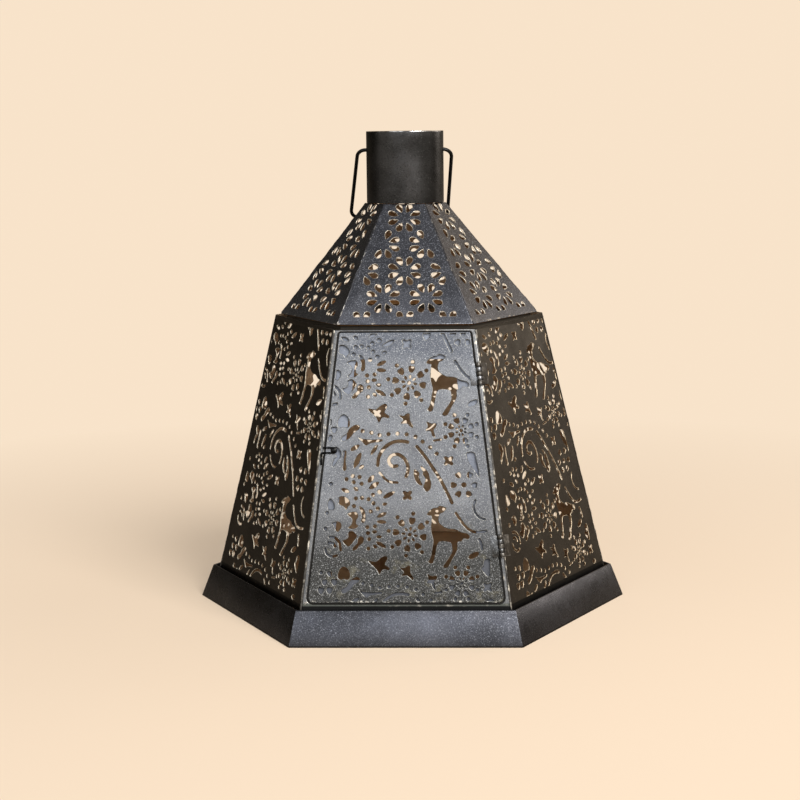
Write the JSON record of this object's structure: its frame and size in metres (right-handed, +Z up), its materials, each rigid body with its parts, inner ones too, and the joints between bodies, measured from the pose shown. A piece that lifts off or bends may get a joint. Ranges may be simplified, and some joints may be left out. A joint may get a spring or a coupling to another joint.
{
  "type": "lantern",
  "caption": "Six-sided pierced tin candle lantern on a flared plinth, with a hinged door, hook latch, sloping pierced roof, flue tube and wire bail.",
  "frame": {"origin": "centre of the plinth's underside, on the surface that the lantern stands on", "axes": "+Z up, -Y towards the door, +X to the right of someone who looks at the door"},
  "size_m": [0.2804, 0.2428, 0.3048],
  "materials": {
    "door_paint": "worn blue-black paint on pierced tin",
    "frame_paint": "worn blue-black paint, rubbed bright on its edges",
    "side_paint": "worn brown-black paint on pierced tin",
    "roof_paint": "worn navy-black paint on pierced tin",
    "plinth_paint": "satin blue-black paint",
    "flue_paint": "satin black paint",
    "inner_tin": "dull rusty brown tin",
    "hinge_steel": "rubbed dark steel",
    "wire": "blackened steel wire"
  },
  "bodies": {
    "root": {"plinth_skirt": "plinth_paint", "floor_plate": "inner_tin", "candle_cup": "inner_tin", "cup_rivet": "hinge_steel", "eave_ring": "inner_tin", "flue_tube": "flue_paint", "door_frame": "frame_paint", "hinge_upper_frame_leaf": "hinge_steel", "hinge_upper_pin": "wire", "hinge_lower_frame_leaf": "hinge_steel", "hinge_lower_pin": "wire", "latch_keeper": "hinge_steel", "side_panel_front_right": "side_paint", "side_panel_back_right": "side_paint", "side_panel_back": "side_paint", "side_panel_back_left": "side_paint", "side_panel_front_left": "side_paint", "roof_panel_front": "roof_paint", "roof_panel_front_right": "roof_paint", "roof_panel_back_right": "roof_paint", "roof_panel_back": "roof_paint", "roof_panel_back_left": "roof_paint", "roof_panel_front_left": "roof_paint"},
    "door": {"door_panel": "door_paint", "hinge_upper_door_leaf": "hinge_steel", "hinge_lower_door_leaf": "hinge_steel", "latch_pivot": "hinge_steel"},
    "hook": {"latch_hook": "wire"},
    "bail": {"bail": "wire"}
  },
  "joints": [
    {"name": "door_swing", "type": "hinge", "parent": "root", "child": "door", "pos_m": [0.05734, -0.10415, 0.05801], "axis": [-0.1188, 0.2058, 0.9714], "range_deg": [0, 225]},
    {"name": "latch_lift", "type": "hinge", "parent": "door", "child": "hook", "pos_m": [-0.04307, -0.09236, 0.11459], "axis": [0, 0.9783, -0.2073], "range_deg": [0, 120]},
    {"name": "bail_swing", "type": "hinge", "parent": "root", "child": "bail", "pos_m": [0, 0, 0.293], "axis": [1, 0, 0], "range_deg": [0, 289]}
  ]
}
